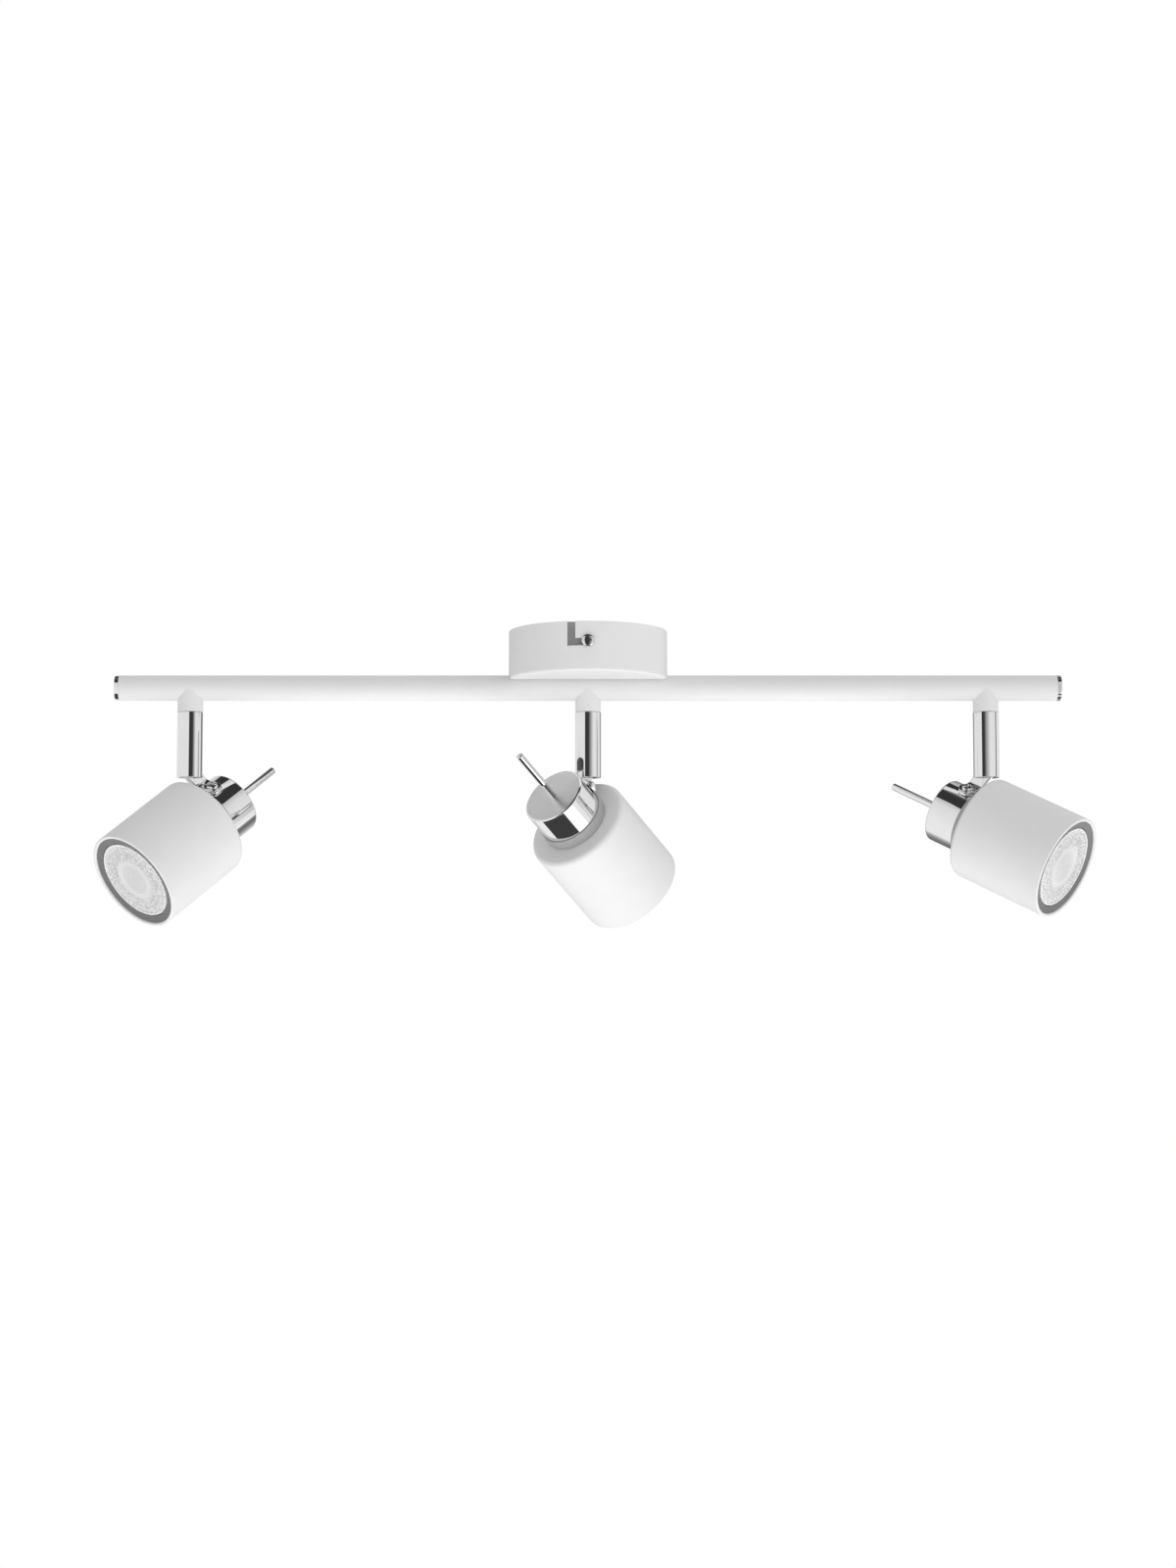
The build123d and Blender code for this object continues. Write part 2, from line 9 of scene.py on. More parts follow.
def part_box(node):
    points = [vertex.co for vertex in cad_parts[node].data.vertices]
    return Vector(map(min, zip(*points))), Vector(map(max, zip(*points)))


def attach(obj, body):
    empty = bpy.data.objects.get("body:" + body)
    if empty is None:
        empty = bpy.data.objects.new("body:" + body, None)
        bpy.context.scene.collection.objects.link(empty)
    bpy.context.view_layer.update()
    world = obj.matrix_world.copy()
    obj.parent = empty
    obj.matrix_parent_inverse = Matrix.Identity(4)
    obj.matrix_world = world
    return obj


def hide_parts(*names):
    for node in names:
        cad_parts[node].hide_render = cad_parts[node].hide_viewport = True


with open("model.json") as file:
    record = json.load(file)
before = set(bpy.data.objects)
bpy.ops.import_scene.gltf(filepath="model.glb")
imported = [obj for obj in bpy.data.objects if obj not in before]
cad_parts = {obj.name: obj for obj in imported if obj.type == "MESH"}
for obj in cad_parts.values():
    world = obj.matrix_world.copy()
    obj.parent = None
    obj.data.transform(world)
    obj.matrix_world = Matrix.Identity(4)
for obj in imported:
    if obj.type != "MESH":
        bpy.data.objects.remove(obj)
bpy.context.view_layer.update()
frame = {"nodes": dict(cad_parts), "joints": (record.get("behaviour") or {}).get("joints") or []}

# A three-spot ceiling bar. Lengths in the outlines below are millimetres, as on its drawing,
# and MM turns them into metres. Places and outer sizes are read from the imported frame.
MM = 0.001
FINE = 192            # steps round a large turned piece
MEDIUM = 96           # steps round a small one
ARC_STEPS = 6         # steps round an outline's rounded corner
SUPPORT = 0.05        # distance of the loop that keeps a flat face flat beside a rounded corner
SHARP = math.radians(32)
ARMS = ("left", "centre", "right")
QUARTER = math.pi / 2


# ---- places, from the frame ----
def joint(name):
    return next(j for j in frame["joints"] if j["name"] == name)


def stem_place(arm):
    """The stem's frame: its axis is Z, and its head faces -Y."""
    tilt = joint(f"tilt_{arm}")
    yaw = math.atan2(tilt["axis"][1], tilt["axis"][0])
    x, y = joint(f"swivel_{arm}")["pos_m"][:2]
    return Matrix.Translation((x, y, 0)) @ Matrix.Rotation(yaw, 4, "Z")


def head_place(arm):
    """The head's frame: the hinge pin is the X axis, and the lamp faces -Y."""
    tilt = joint(f"tilt_{arm}")
    yaw = math.atan2(tilt["axis"][1], tilt["axis"][0])
    down = -math.radians(tilt["range_deg"][0])
    turned = Matrix.Translation(tilt["pos_m"]) @ Matrix.Rotation(yaw, 4, "Z")
    return turned @ Matrix.Rotation(down, 4, "X")


def local_box(node, place):
    """A CAD node's lowest and highest corners in a frame of its own, in millimetres."""
    back = place.inverted()
    points = [back @ v.co for v in frame["nodes"][node].data.vertices]
    low = Vector([min(p[i] for p in points) for i in range(3)])
    high = Vector([max(p[i] for p in points) for i in range(3)])
    return low / MM, high / MM


def axis_place(arm):
    """The head's own axis: Z runs along it towards the lamp, from over the hinge pin."""
    head = head_place(arm)
    low, high = local_box(f"shade_{arm}", head)
    drop = Matrix.Translation((0, 0, (low.z + high.z) / 2 * MM))
    return head @ drop @ Matrix.Rotation(QUARTER, 4, "X")


# ---- meshes ----
def rounded(corners):
    """Outline points from (radius, height, corner radius) corners."""
    points = []
    for i, (r, z, bend) in enumerate(corners):
        here = Vector((r, z))
        if not bend:
            points.append(here)
            continue
        back = (Vector(corners[i - 1][:2]) - here).normalized()
        ahead = (Vector(corners[(i + 1) % len(corners)][:2]) - here).normalized()
        half = back.angle(ahead) / 2
        reach = bend / math.tan(half)
        centre = here + (back + ahead).normalized() * (bend / math.sin(half))
        first = here + back * reach - centre
        last = here + ahead * reach - centre
        sweep = first.angle(last)
        points.append(here + back * (reach + SUPPORT))
        for k in range(ARC_STEPS + 1):
            t = k / ARC_STEPS
            spoke = first * math.sin((1 - t) * sweep) + last * math.sin(t * sweep)
            points.append(centre + spoke / math.sin(sweep))
        points.append(here + ahead * (reach + SUPPORT))
    return points


def ring(mesh, radius, height, steps):
    """A ring of vertices about Z, or one vertex on the axis."""
    if radius < 1e-6:
        return [mesh.verts.new((0, 0, height * MM))]
    turn = 2 * math.pi / steps
    return [mesh.verts.new((radius * math.cos(k * turn) * MM, radius * math.sin(k * turn) * MM,
                            height * MM)) for k in range(steps)]


def bridge(mesh, low, high):
    """Faces between two rings, either of which may be a single vertex."""
    steps = max(len(low), len(high))
    if steps == 1:
        return
    for k in range(steps):
        corners = [low[k % len(low)], low[(k + 1) % len(low)],
                   high[(k + 1) % len(high)], high[k % len(high)]]
        unique = [v for i, v in enumerate(corners) if v not in corners[:i]]
        mesh.faces.new(unique)


def turn_outline(mesh, corners, steps, closed):
    """Turns an outline about Z. A closed one ends where it starts."""
    rings = [ring(mesh, r, z, steps) for r, z in rounded(corners)]
    pairs = list(zip(rings, rings[1:]))
    if closed:
        pairs.append((rings[-1], rings[0]))
    for low, high in pairs:
        bridge(mesh, low, high)


def add_piece(name, mesh, place):
    """An object from a bmesh, smooth except at its sharp edges."""
    bmesh.ops.recalc_face_normals(mesh, faces=mesh.faces)
    data = bpy.data.meshes.new(name)
    mesh.to_mesh(data)
    mesh.free()
    data.shade_smooth()
    data.set_sharp_from_angle(angle=SHARP)
    piece = bpy.data.objects.new(name, data)
    bpy.context.scene.collection.objects.link(piece)
    piece.matrix_world = place
    return piece


def turned(name, corners, place, steps=FINE, closed=False):
    """A turned piece. An open outline starts and ends on the axis."""
    mesh = bmesh.new()
    turn_outline(mesh, corners, steps, closed)
    return add_piece(name, mesh, place)


def bake_modifiers(piece):
    """Makes the piece's modifiers part of its mesh."""
    graph = bpy.context.evaluated_depsgraph_get()
    final = bpy.data.meshes.new_from_object(piece.evaluated_get(graph))
    piece.modifiers.clear()
    piece.data = final
    final.shade_smooth()
    final.set_sharp_from_angle(angle=SHARP)


def cut(piece, tool, operation="DIFFERENCE"):
    """Cuts with, joins or keeps the overlap with a tool, which is then thrown away."""
    step = piece.modifiers.new("cut", "BOOLEAN")
    step.object = tool
    step.operation = operation
    step.solver = "EXACT"
    bake_modifiers(piece)
    bpy.data.objects.remove(tool)


def box_tool(low, high):
    """A plain block between two corners, to cut with."""
    mesh = bmesh.new()
    bmesh.ops.create_cube(mesh, size=1)
    low, high = Vector(low) * MM, Vector(high) * MM
    size = Matrix.Diagonal((*(high - low), 1))
    mesh.transform(Matrix.Translation((low + high) / 2) @ size)
    return add_piece("tool", mesh, Matrix.Identity(4))


def rod_tool(radius, length, place, steps=MEDIUM):
    """A plain cylinder about its own Z, centred, to cut with."""
    half = length / 2
    outline = [(0, -half, 0), (radius, -half, 0), (radius, half, 0), (0, half, 0)]
    return turned("tool", outline, place, steps)


def soften(piece, width):
    """Breaks the sharp edges, as plating, paint and tumbling do."""
    edge = piece.modifiers.new("edges", "BEVEL")
    edge.width = width * MM
    edge.segments = 2
    edge.limit_method = "ANGLE"
    edge.angle_limit = SHARP
    edge.use_clamp_overlap = True
    normals = piece.modifiers.new("normals", "WEIGHTED_NORMAL")
    normals.keep_sharp = True


# ---- materials ----
def maths(tree, operation, first, second):
    """A Math node's result, from two sockets or numbers."""
    made = tree.nodes.new("ShaderNodeMath")
    made.operation = operation
    for socket, value in zip(made.inputs, (first, second)):
        if hasattr(value, "is_output"):
            tree.links.new(value, socket)
        else:
            socket.default_value = value
    return made.outputs["Value"]


def ramp(tree, value, stops):
    """A grey ramp from (position, level) stops."""
    made = tree.nodes.new("ShaderNodeValToRGB")
    elements = made.color_ramp.elements
    while len(elements) < len(stops):
        elements.new(0.5)
    for element, (position, level) in zip(elements, stops):
        element.position = position
        element.color = (level, level, level, 1.0)
    tree.links.new(value, made.inputs["Fac"])
    return made.outputs["Color"]


class Finish:
    """A material built round one Principled surface, with its detail from noise."""

    def __init__(self, name, colour, roughness, metallic=0.0):
        self.material = bpy.data.materials.new(name)
        self.material.use_nodes = True
        self.tree = self.material.node_tree
        self.surface = self.tree.nodes["Principled BSDF"]
        self.set("Base Color", (*colour, 1.0))
        self.set("Roughness", roughness)
        self.set("Metallic", metallic)
        self.place = self.tree.nodes.new("ShaderNodeTexCoord").outputs["Object"]
        self.material.diffuse_color = (*colour, 1.0)

    def set(self, socket, value):
        self.surface.inputs[socket].default_value = value

    def node(self, kind, **values):
        made = self.tree.nodes.new(kind)
        for socket, value in values.items():
            if hasattr(value, "is_output"):
                self.tree.links.new(value, made.inputs[socket])
            else:
                made.inputs[socket].default_value = value
        return made

    def noise(self, size, detail=3.0, stretch=(1, 1, 1)):
        """Cloudy noise whose lumps are about size millimetres across."""
        made = self.node("ShaderNodeMapping", Vector=self.place,
                         Scale=[s / (size * MM) for s in stretch])
        return self.node("ShaderNodeTexNoise", Vector=made.outputs["Vector"],
                         Scale=1.0, Detail=detail).outputs["Fac"]

    def spread(self, amount, low, high):
        """Turns noise into a value between low and high."""
        made = self.node("ShaderNodeMapRange", Value=amount)
        for socket, value in zip(("From Min", "From Max", "To Min", "To Max"),
                                 (0.3, 0.7, low, high)):
            made.inputs[socket].default_value = value
        return made.outputs["Result"]

    def maths(self, operation, first, second):
        return maths(self.tree, operation, first, second)

    def ramp(self, value, stops):
        return ramp(self.tree, value, stops)

    def vary_colour(self, amount, first, second):
        mixed = self.tree.nodes.new("ShaderNodeMix")
        mixed.data_type = "RGBA"
        self.tree.links.new(self.spread(amount, 0.0, 1.0), mixed.inputs["Factor"])
        for socket in mixed.inputs:
            if socket.type == "RGBA":
                socket.default_value = (*(first if socket.name == "A" else second), 1.0)
        colour = next(s for s in mixed.outputs if s.type == "RGBA")
        self.tree.links.new(colour, self.surface.inputs["Base Color"])

    def vary_roughness(self, amount, low, high):
        self.tree.links.new(self.spread(amount, low, high), self.surface.inputs["Roughness"])

    def bump(self, height, depth, strength=1.0):
        """Relief of the given depth in millimetres."""
        made = self.node("ShaderNodeBump", Height=height, Strength=strength, Distance=depth * MM)
        self.tree.links.new(made.outputs["Normal"], self.surface.inputs["Normal"])


def white_paint():
    """Satin powder coat: fine orange peel under an even sheen."""
    made = Finish("white_powder_coat", (0.80, 0.80, 0.80), 0.5)
    made.set("Specular IOR Level", 0.25)
    made.vary_colour(made.noise(14.0), (0.795, 0.795, 0.795), (0.815, 0.815, 0.812))
    made.vary_roughness(made.noise(2.2), 0.44, 0.56)
    made.bump(made.noise(0.55, detail=2.0), 0.012, 0.5)
    return made.material


def chrome():
    """Bright plate with faint haze and polishing marks."""
    made = Finish("polished_chrome", (0.90, 0.90, 0.905), 0.03, 1.0)
    made.vary_colour(made.noise(9.0), (0.885, 0.885, 0.89), (0.915, 0.915, 0.918))
    made.vary_roughness(made.noise(6.0), 0.015, 0.035)
    made.bump(made.noise(7.0, detail=1.0), 0.004, 0.15)
    return made.material


def zinc():
    """Bright zinc plate on rolled sheet: cloudy, with a drawn grain."""
    made = Finish("zinc_plate", (0.70, 0.70, 0.71), 0.34, 0.6)
    made.vary_colour(made.noise(5.0), (0.64, 0.65, 0.66), (0.76, 0.76, 0.75))
    made.vary_roughness(made.noise(0.8, stretch=(5, 1, 1)), 0.26, 0.42)
    made.bump(made.noise(0.3, stretch=(6, 1, 1)), 0.004, 0.5)
    return made.material


def grey_metal(name, level):
    """Grey satin lacquer on turned metal, with faint turning marks."""
    made = Finish(name, (level, level, level), 0.38)
    made.set("Specular IOR Level", 0.35)
    darker, lighter = level * 0.95, level * 1.05
    made.vary_colour(made.noise(4.0), (darker, darker, darker), (lighter, lighter, lighter))
    made.vary_roughness(made.noise(1.2), 0.32, 0.44)
    made.bump(made.noise(0.5, detail=2.0), 0.006, 0.4)
    return made.material


def brass():
    made = Finish("machined_brass", (0.75, 0.58, 0.28), 0.27, 1.0)
    made.vary_colour(made.noise(3.0), (0.68, 0.50, 0.23), (0.80, 0.63, 0.33))
    made.vary_roughness(made.noise(0.7, stretch=(1, 1, 8)), 0.20, 0.36)
    made.bump(made.noise(0.2, stretch=(1, 1, 8)), 0.003, 0.5)
    return made.material


def moulded(name, colour, roughness, grain=0.4):
    """Moulded plastic or rubber with a fine spark-eroded grain."""
    made = Finish(name, colour, roughness)
    darker = tuple(c * 0.93 for c in colour)
    made.vary_colour(made.noise(6.0), darker, colour)
    made.vary_roughness(made.noise(1.5), roughness - 0.06, roughness + 0.06)
    made.bump(made.noise(grain, detail=2.0), 0.01, 0.5)
    return made.material


def ceramic():
    """Glazed steatite with small iron specks."""
    made = Finish("glazed_ceramic", (0.84, 0.82, 0.77), 0.22)
    made.set("Coat Weight", 0.4)
    made.set("Coat Roughness", 0.12)
    made.vary_colour(made.noise(1.1, detail=5.0), (0.76, 0.73, 0.66), (0.86, 0.84, 0.80))
    made.vary_roughness(made.noise(2.0), 0.16, 0.30)
    made.bump(made.noise(1.2), 0.02, 0.4)
    return made.material


def lens_clear():
    """Clear moulded lens with painted light in its colour: a painted grey middle, painted light and
    dark concentric rings, and painted glints with random mottling on the pebbled rim.
    """
    made = Finish("clear_lens", (0.97, 0.97, 0.98), 0.08)
    made.set("IOR", 1.49)
    made.set("Transmission Weight", 0.12)
    flat = made.node("ShaderNodeVectorMath")
    flat.operation = "MULTIPLY"
    flat.inputs[1].default_value = (1 / MM, 1 / MM, 0.0)      # radius, in millimetres
    made.tree.links.new(made.place, flat.inputs[0])
    length = made.node("ShaderNodeVectorMath")
    length.operation = "LENGTH"
    made.tree.links.new(flat.outputs["Vector"], length.inputs[0])
    radius = length.outputs["Value"]
    # painted shading of the concentric ridges: a faint light and dark wave by radius, wobbled by noise
    wobble = made.maths("MULTIPLY", made.noise(2.5), 0.7)
    painted_ring_wave = made.maths("SINE", made.maths("MULTIPLY", made.maths("ADD", radius, wobble), 4.4), 0)
    rings = made.maths("MULTIPLY", painted_ring_wave, 0.035)
    pebbles = made.node("ShaderNodeTexVoronoi", Vector=flat.outputs["Vector"], Scale=0.95)
    # painted glints: brighter spots at the pebbles' centres
    painted_glints = made.ramp(pebbles.outputs["Distance"],
                        [(0.0, 0.30), (0.22, 0.12), (0.5, 0.0), (1.0, 0.0)])
    share = made.maths("DIVIDE", radius, 24.0)
    outer = made.ramp(share,
                      [(0.0, 0.0), (0.50, 0.0), (0.60, 1.0), (1.0, 1.0)])
    # painted light and shade by radius: a grey middle, a lighter band, a darker band and a bright edge
    tone = made.ramp(share,
                     [(0.0, 0.74), (0.36, 0.77), (0.42, 0.86), (0.52, 0.82), (0.60, 0.72),
                      (0.90, 0.78), (0.95, 0.95), (1.0, 0.90)])
    # random mottling on the outer field, with the painted glints added
    cloud = made.spread(made.noise(1.1, detail=6.0), -0.25, 0.18)
    grain = made.maths("MULTIPLY", made.maths("ADD", cloud, painted_glints), outer)
    total = made.maths("ADD", made.maths("ADD", tone, rings), grain)
    made.tree.links.new(total, made.surface.inputs["Base Color"])
    made.vary_roughness(made.noise(0.9), 0.04, 0.14)
    made.bump(pebbles.outputs["Distance"], 0.12, 0.5)
    return made.material


# one finish for each of the record's material slots
FINISHES = {
    "white_paint": white_paint(),
    "chrome": chrome(),
    "zinc_steel": zinc(),
    "grey_metal": grey_metal("grey_satin_metal", 0.41),
    "brass": brass(),
    "white_plastic": moulded("white_nylon", (0.82, 0.82, 0.79), 0.45),
    "black_rubber": moulded("black_rubber", (0.022, 0.022, 0.023), 0.62, 0.7),
    "wire_sleeve": moulded("brown_sleeve", (0.16, 0.07, 0.035), 0.42),
    "ceramic": ceramic(),
    "lamp_plastic": moulded("lamp_housing_grey", (0.60, 0.60, 0.61), 0.38),
    "lens_clear": lens_clear(),
}


def bright_metal(name, level, roughness):
    """Plated metal between mirror and satin."""
    made = Finish(name, (level, level, level), roughness, 1.0)
    made.vary_colour(made.noise(3.0), (level * 0.96,) * 3, (level,) * 3)
    made.vary_roughness(made.noise(1.5), roughness * 0.8, roughness * 1.2)
    made.bump(made.noise(0.8), 0.002, 0.3)
    return made.material


# The lamp ring's grey is darkened further as painted shade, which stands in for the shadow inside the
# shade's lip.
RING_GREY_WITH_PAINTED_SHADE = grey_metal("ring_grey_with_painted_shade", 0.17)
SCREW_PLATE = bright_metal("bright_zinc", 0.82, 0.14)
SATIN_CHROME = bright_metal("satin_chrome", 0.84, 0.36)


def dress(piece, body, slot, *nodes, finish=None):
    """Gives a piece its finish and its body, and the CAD nodes that it stands for."""
    piece.data.materials.clear()
    piece.data.materials.append(finish or FINISHES[slot])
    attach(piece, body)
    if nodes:
        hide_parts(*nodes)
    return piece


def domed_screw(name, place, head_r, head_height, shank_r, length):
    """A screw with a domed head and a cross recess, standing on its seat, head along Z."""
    edge = head_height * 0.3
    outline = [(0, -length, 0), (shank_r, -length, 0.25), (shank_r, 0, 0), (head_r, 0, 0.08)]
    for k in range(13):
        turn = QUARTER * k / 12
        outline.append((head_r * math.cos(turn) if k < 12 else 0.0,
                        edge + (head_height - edge) * math.sin(turn), 0))
    piece = turned(name, outline, Matrix.Identity(4), MEDIUM)
    arm, web = head_r * 0.55, head_r * 0.13
    for reach_x, reach_y in ((arm, web), (web, arm)):
        cut(piece, box_tool((-reach_x, -reach_y, head_height - 1.1), (reach_x, reach_y, 9)))
    piece.matrix_world = place
    return piece


# ---- canopy ----
def side_screws():
    low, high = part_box("canopy_side_screws")
    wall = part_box("canopy")[1].y
    height = (low.z + high.z) / 2
    head_r = (high.z - low.z) / 2 / MM
    for name, side in (("front", -1), ("back", 1)):
        place = Matrix.Translation((0, side * wall, height))
        place = place @ Matrix.Rotation(-side * QUARTER, 4, "X")
        piece = domed_screw(f"side_screw_{name}", place, head_r, (high.y - wall) / MM, 1.5, 6.1)
        dress(piece, "bar_frame", "zinc_steel", "canopy_side_screws", finish=SCREW_PLATE)


def canopy():
    low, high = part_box("canopy")
    outer = high.x / MM
    floor = low.z / MM
    wall, pad_r, head_r, head_height = 1.2, 5.0, 3.8, 2.4
    screw_hole_r, wire_hole_r, clearance = 2.05, 4.1, 0.05
    outline = [(0, floor, 0), (outer, floor, 1.5), (outer, 0, 0.25), (outer - wall, 0, 0.25),
               (outer - wall, floor + wall, 0.6), (0, floor + wall, 0)]
    shell = turned("canopy_shell", outline, Matrix.Identity(4), 2 * FINE)
    bar_low, bar_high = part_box("bar_tube")
    bar_z = (bar_low.z + bar_high.z) / 2
    bar_r = (bar_high.z - bar_low.z) / 2 / MM
    lying = Matrix.Translation((0, 0, bar_z)) @ Matrix.Rotation(QUARTER, 4, "Y")
    ridge = rod_tool(bar_r + wall, 2 * outer + 10, lying)
    inside = [(0, floor + 0.2, 0), (outer - 0.2, floor + 0.2, 0), (outer - 0.2, -1, 0), (0, -1, 0)]
    cut(ridge, turned("tool", inside, Matrix.Identity(4)), "INTERSECT")
    cut(shell, ridge, "UNION")
    pad_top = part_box("bar_fixing_screws")[1].z / MM - head_height
    screw_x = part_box("bar_fixing_screws")[1].x / MM - head_r
    for x in (-screw_x, screw_x):
        place = Matrix.Translation((x * MM, 0, (pad_top + floor + wall) / 2 * MM))
        cut(shell, rod_tool(pad_r, pad_top - floor - wall, place), "UNION")
    cut(shell, rod_tool(bar_r + clearance, 3 * outer, lying))
    for x, radius in ((-screw_x, screw_hole_r), (screw_x, screw_hole_r), (0, wire_hole_r)):
        place = Matrix.Translation((x * MM, 0, floor * MM))
        cut(shell, rod_tool(radius, 30, place))
    screw_low, screw_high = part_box("canopy_side_screws")
    screw_z = (screw_low.z + screw_high.z) / 2 / MM
    leg_x, leg_half, top, bottom = -9.3, 2.2, screw_z + 1.5, screw_z - 2.8
    for turn in (0, math.pi):
        about = Matrix.Rotation(turn, 4, "Z")
        leg = box_tool((leg_x - leg_half, -60, bottom), (leg_x + leg_half, 0, 1))
        foot = box_tool((leg_x, -60, bottom), (0, 0, top))
        middle = Matrix.Translation((0, -30 * MM, (top + bottom) / 2 * MM))
        end = rod_tool((top - bottom) / 2, 60, middle @ Matrix.Rotation(QUARTER, 4, "X"), 48)
        for tool in (leg, foot, end):
            tool.matrix_world = about @ tool.matrix_world
            cut(shell, tool)
    soften(shell, 0.2)
    return dress(shell, "bar_frame", "white_paint", "canopy")


# ---- bar and sockets ----
def bar():
    low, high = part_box("bar_tube")
    outer = (high.z - low.z) / 2 / MM
    half = high.x / MM
    middle = (high.z + low.z) / 2
    lying = Matrix.Translation((0, 0, middle)) @ Matrix.Rotation(QUARTER, 4, "Y")
    wall, plug = 1.0, 8
    bore = outer - wall
    outline = [(outer, -half, 0.1), (outer, half, 0.1), (bore, half, 0.1), (bore, -half, 0.1)]
    dress(turned("bar_tube_shell", outline, lying, FINE, closed=True),
          "bar_frame", "white_paint", "bar_tube")
    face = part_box("bar_end_caps")[1].x / MM
    plug_r = outer - 1.05
    outline = [(0, half - plug, 0), (plug_r, half - plug, 0.4), (plug_r, half, 0),
               (outer, half, 0.1), (outer, face, 0.55), (0, face, 0)]
    mesh = bmesh.new()
    turn_outline(mesh, outline, FINE, closed=False)
    twin = bmesh.ops.duplicate(mesh, geom=mesh.verts[:] + mesh.edges[:] + mesh.faces[:])
    moved = [item for item in twin["geom"] if isinstance(item, bmesh.types.BMVert)]
    bmesh.ops.rotate(mesh, verts=moved, cent=(0, 0, 0), matrix=Matrix.Rotation(math.pi, 3, "Y"))
    dress(add_piece("end_caps", mesh, lying), "bar_frame", "chrome", "bar_end_caps")


def socket(arm):
    """A short pillar, as thick as the bar, whose top is a saddle that fits round the bar."""
    node = f"stem_socket_{arm}"
    low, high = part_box(node)
    bar_low, bar_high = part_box("bar_tube")
    bar_z = (bar_low.z + bar_high.z) / 2 / MM
    radius = (high.x - low.x) / 2 / MM
    bottom = low.z / MM
    sunk = 0.12
    mesh = bmesh.new()
    rows = [ring(mesh, 4.0, bottom + 1.4, FINE), ring(mesh, 4.0, bottom, FINE),
            ring(mesh, radius - 0.3, bottom, FINE), ring(mesh, radius - 0.2, bottom, FINE),
            ring(mesh, radius - 0.06, bottom + 0.06, FINE), ring(mesh, radius, bottom + 0.2, FINE),
            ring(mesh, radius, bottom + 0.3, FINE)]
    levels = 12
    for k in range(1, levels + 1):
        row = ring(mesh, radius, bottom, FINE)
        for vertex in row:
            across = math.sqrt(max(0.0, radius ** 2 - (vertex.co.y / MM) ** 2))
            saddle = bar_z - across + sunk
            start = bottom + 0.3
            vertex.co.z = (start + (saddle - start) * k / levels) * MM
        rows.append(row)
    for lower, upper in zip(rows, rows[1:]):
        bridge(mesh, lower, upper)
    middle = (low + high) / 2
    place = Matrix.Translation((middle.x, 0, 0))
    dress(add_piece(f"socket_{arm}", mesh, place), "bar_frame", "white_paint", node)


# ---- stem ----
def stem(arm):
    """A plated tube whose lower end has a slot at the back for the bracket's tongue."""
    place = stem_place(arm)
    node = f"stem_tube_{arm}"
    low, high = local_box(node, place)
    radius, wall = high.x, 1.0
    slot_half = 2.5
    pin_z = joint(f"tilt_{arm}")["pos_m"][2] / MM
    slot_z = pin_z + 5.0       # where the slot's round end begins
    clear = slot_z + 2 * slot_half
    steps = 240
    slot_angle = math.asin(slot_half / radius)
    inside_steps = 24
    outside_steps = steps - inside_steps
    angles = [QUARTER - slot_angle + 2 * slot_angle * k / inside_steps
              for k in range(inside_steps + 1)]
    rest = 2 * math.pi - 2 * slot_angle
    angles += [QUARTER + slot_angle + rest * k / outside_steps for k in range(1, outside_steps)]
    mesh = bmesh.new()
    columns = []
    for k, angle in enumerate(angles):
        x = radius * math.cos(angle)
        arch = slot_z
        if k <= inside_steps:
            arch += math.sqrt(max(0.0, slot_half ** 2 - x ** 2))
        heights = [arch + (clear - arch) * i / 6 for i in range(7)] + [high.z - 0.4, high.z]
        if not 0 < k < inside_steps:
            lower = [low.z, low.z + 0.3] + [low.z + 0.3 + (slot_z - low.z - 0.3) * i / 6
                                            for i in range(1, 6)]
            heights = lower + heights
        columns.append([mesh.verts.new((x * MM, radius * math.sin(angle) * MM, z * MM))
                        for z in heights])
    for k, column in enumerate(columns):
        neighbour = columns[(k + 1) % len(columns)]
        short = min(len(column), len(neighbour))
        here, there = column[-short:], neighbour[-short:]
        for i in range(short - 1):
            mesh.faces.new((here[i], there[i], there[i + 1], here[i + 1]))
    piece = add_piece(f"stem_{arm}", mesh, place)
    thick = piece.modifiers.new("wall", "SOLIDIFY")
    thick.thickness = wall * MM
    thick.offset = -1
    bake_modifiers(piece)
    soften(piece, 0.12)
    dress(piece, f"stem_{arm}", "chrome", node)


# ---- head ----
def shade(arm, axis):
    node = f"shade_{arm}"
    low, high = local_box(node, axis)
    radius, rear, front, wall = high.x, low.z, high.z, 1.9
    bend = 2.5
    hole = local_box(f"lampholder_cup_{arm}", axis)[1].x - 2.0
    outline = [(hole, rear, 0.15), (radius, rear, bend), (radius, front, 0.55),
               (radius - wall, front, 0.75), (radius - wall, rear + wall, bend - wall),
               (hole, rear + wall, 0.15)]
    piece = turned(f"shade_shell_{arm}", outline, axis, FINE, closed=True)
    dress(piece, f"head_{arm}", "white_paint", node)


def cup(arm, axis):
    node = f"lampholder_cup_{arm}"
    low, high = local_box(node, axis)
    radius, rear, wall = high.x, low.z, 1.0
    step = local_box(f"shade_rings_{arm}", axis)[0].z
    spigot = radius - 2.0
    rod_hole_r = 1.65
    outline = [(rod_hole_r, rear, 0.1), (radius, rear, 1.0), (radius, step, 0.12), (spigot, step, 0),
               (spigot, high.z, 0.2), (spigot - 0.9, high.z, 0.2), (spigot - 0.9, step - wall, 0),
               (radius - wall, step - wall, 0), (radius - wall, rear + wall, 0.5),
               (rod_hole_r, rear + wall, 0)]
    piece = turned(f"cup_{arm}", outline, axis, FINE, closed=True)
    dress(piece, f"head_{arm}", "chrome", node)
    # the flat rear face is satin, and the rest is polished
    piece.data.materials.append(SATIN_CHROME)
    for face in piece.data.polygons:
        face.material_index = int(face.normal.z < -0.999)


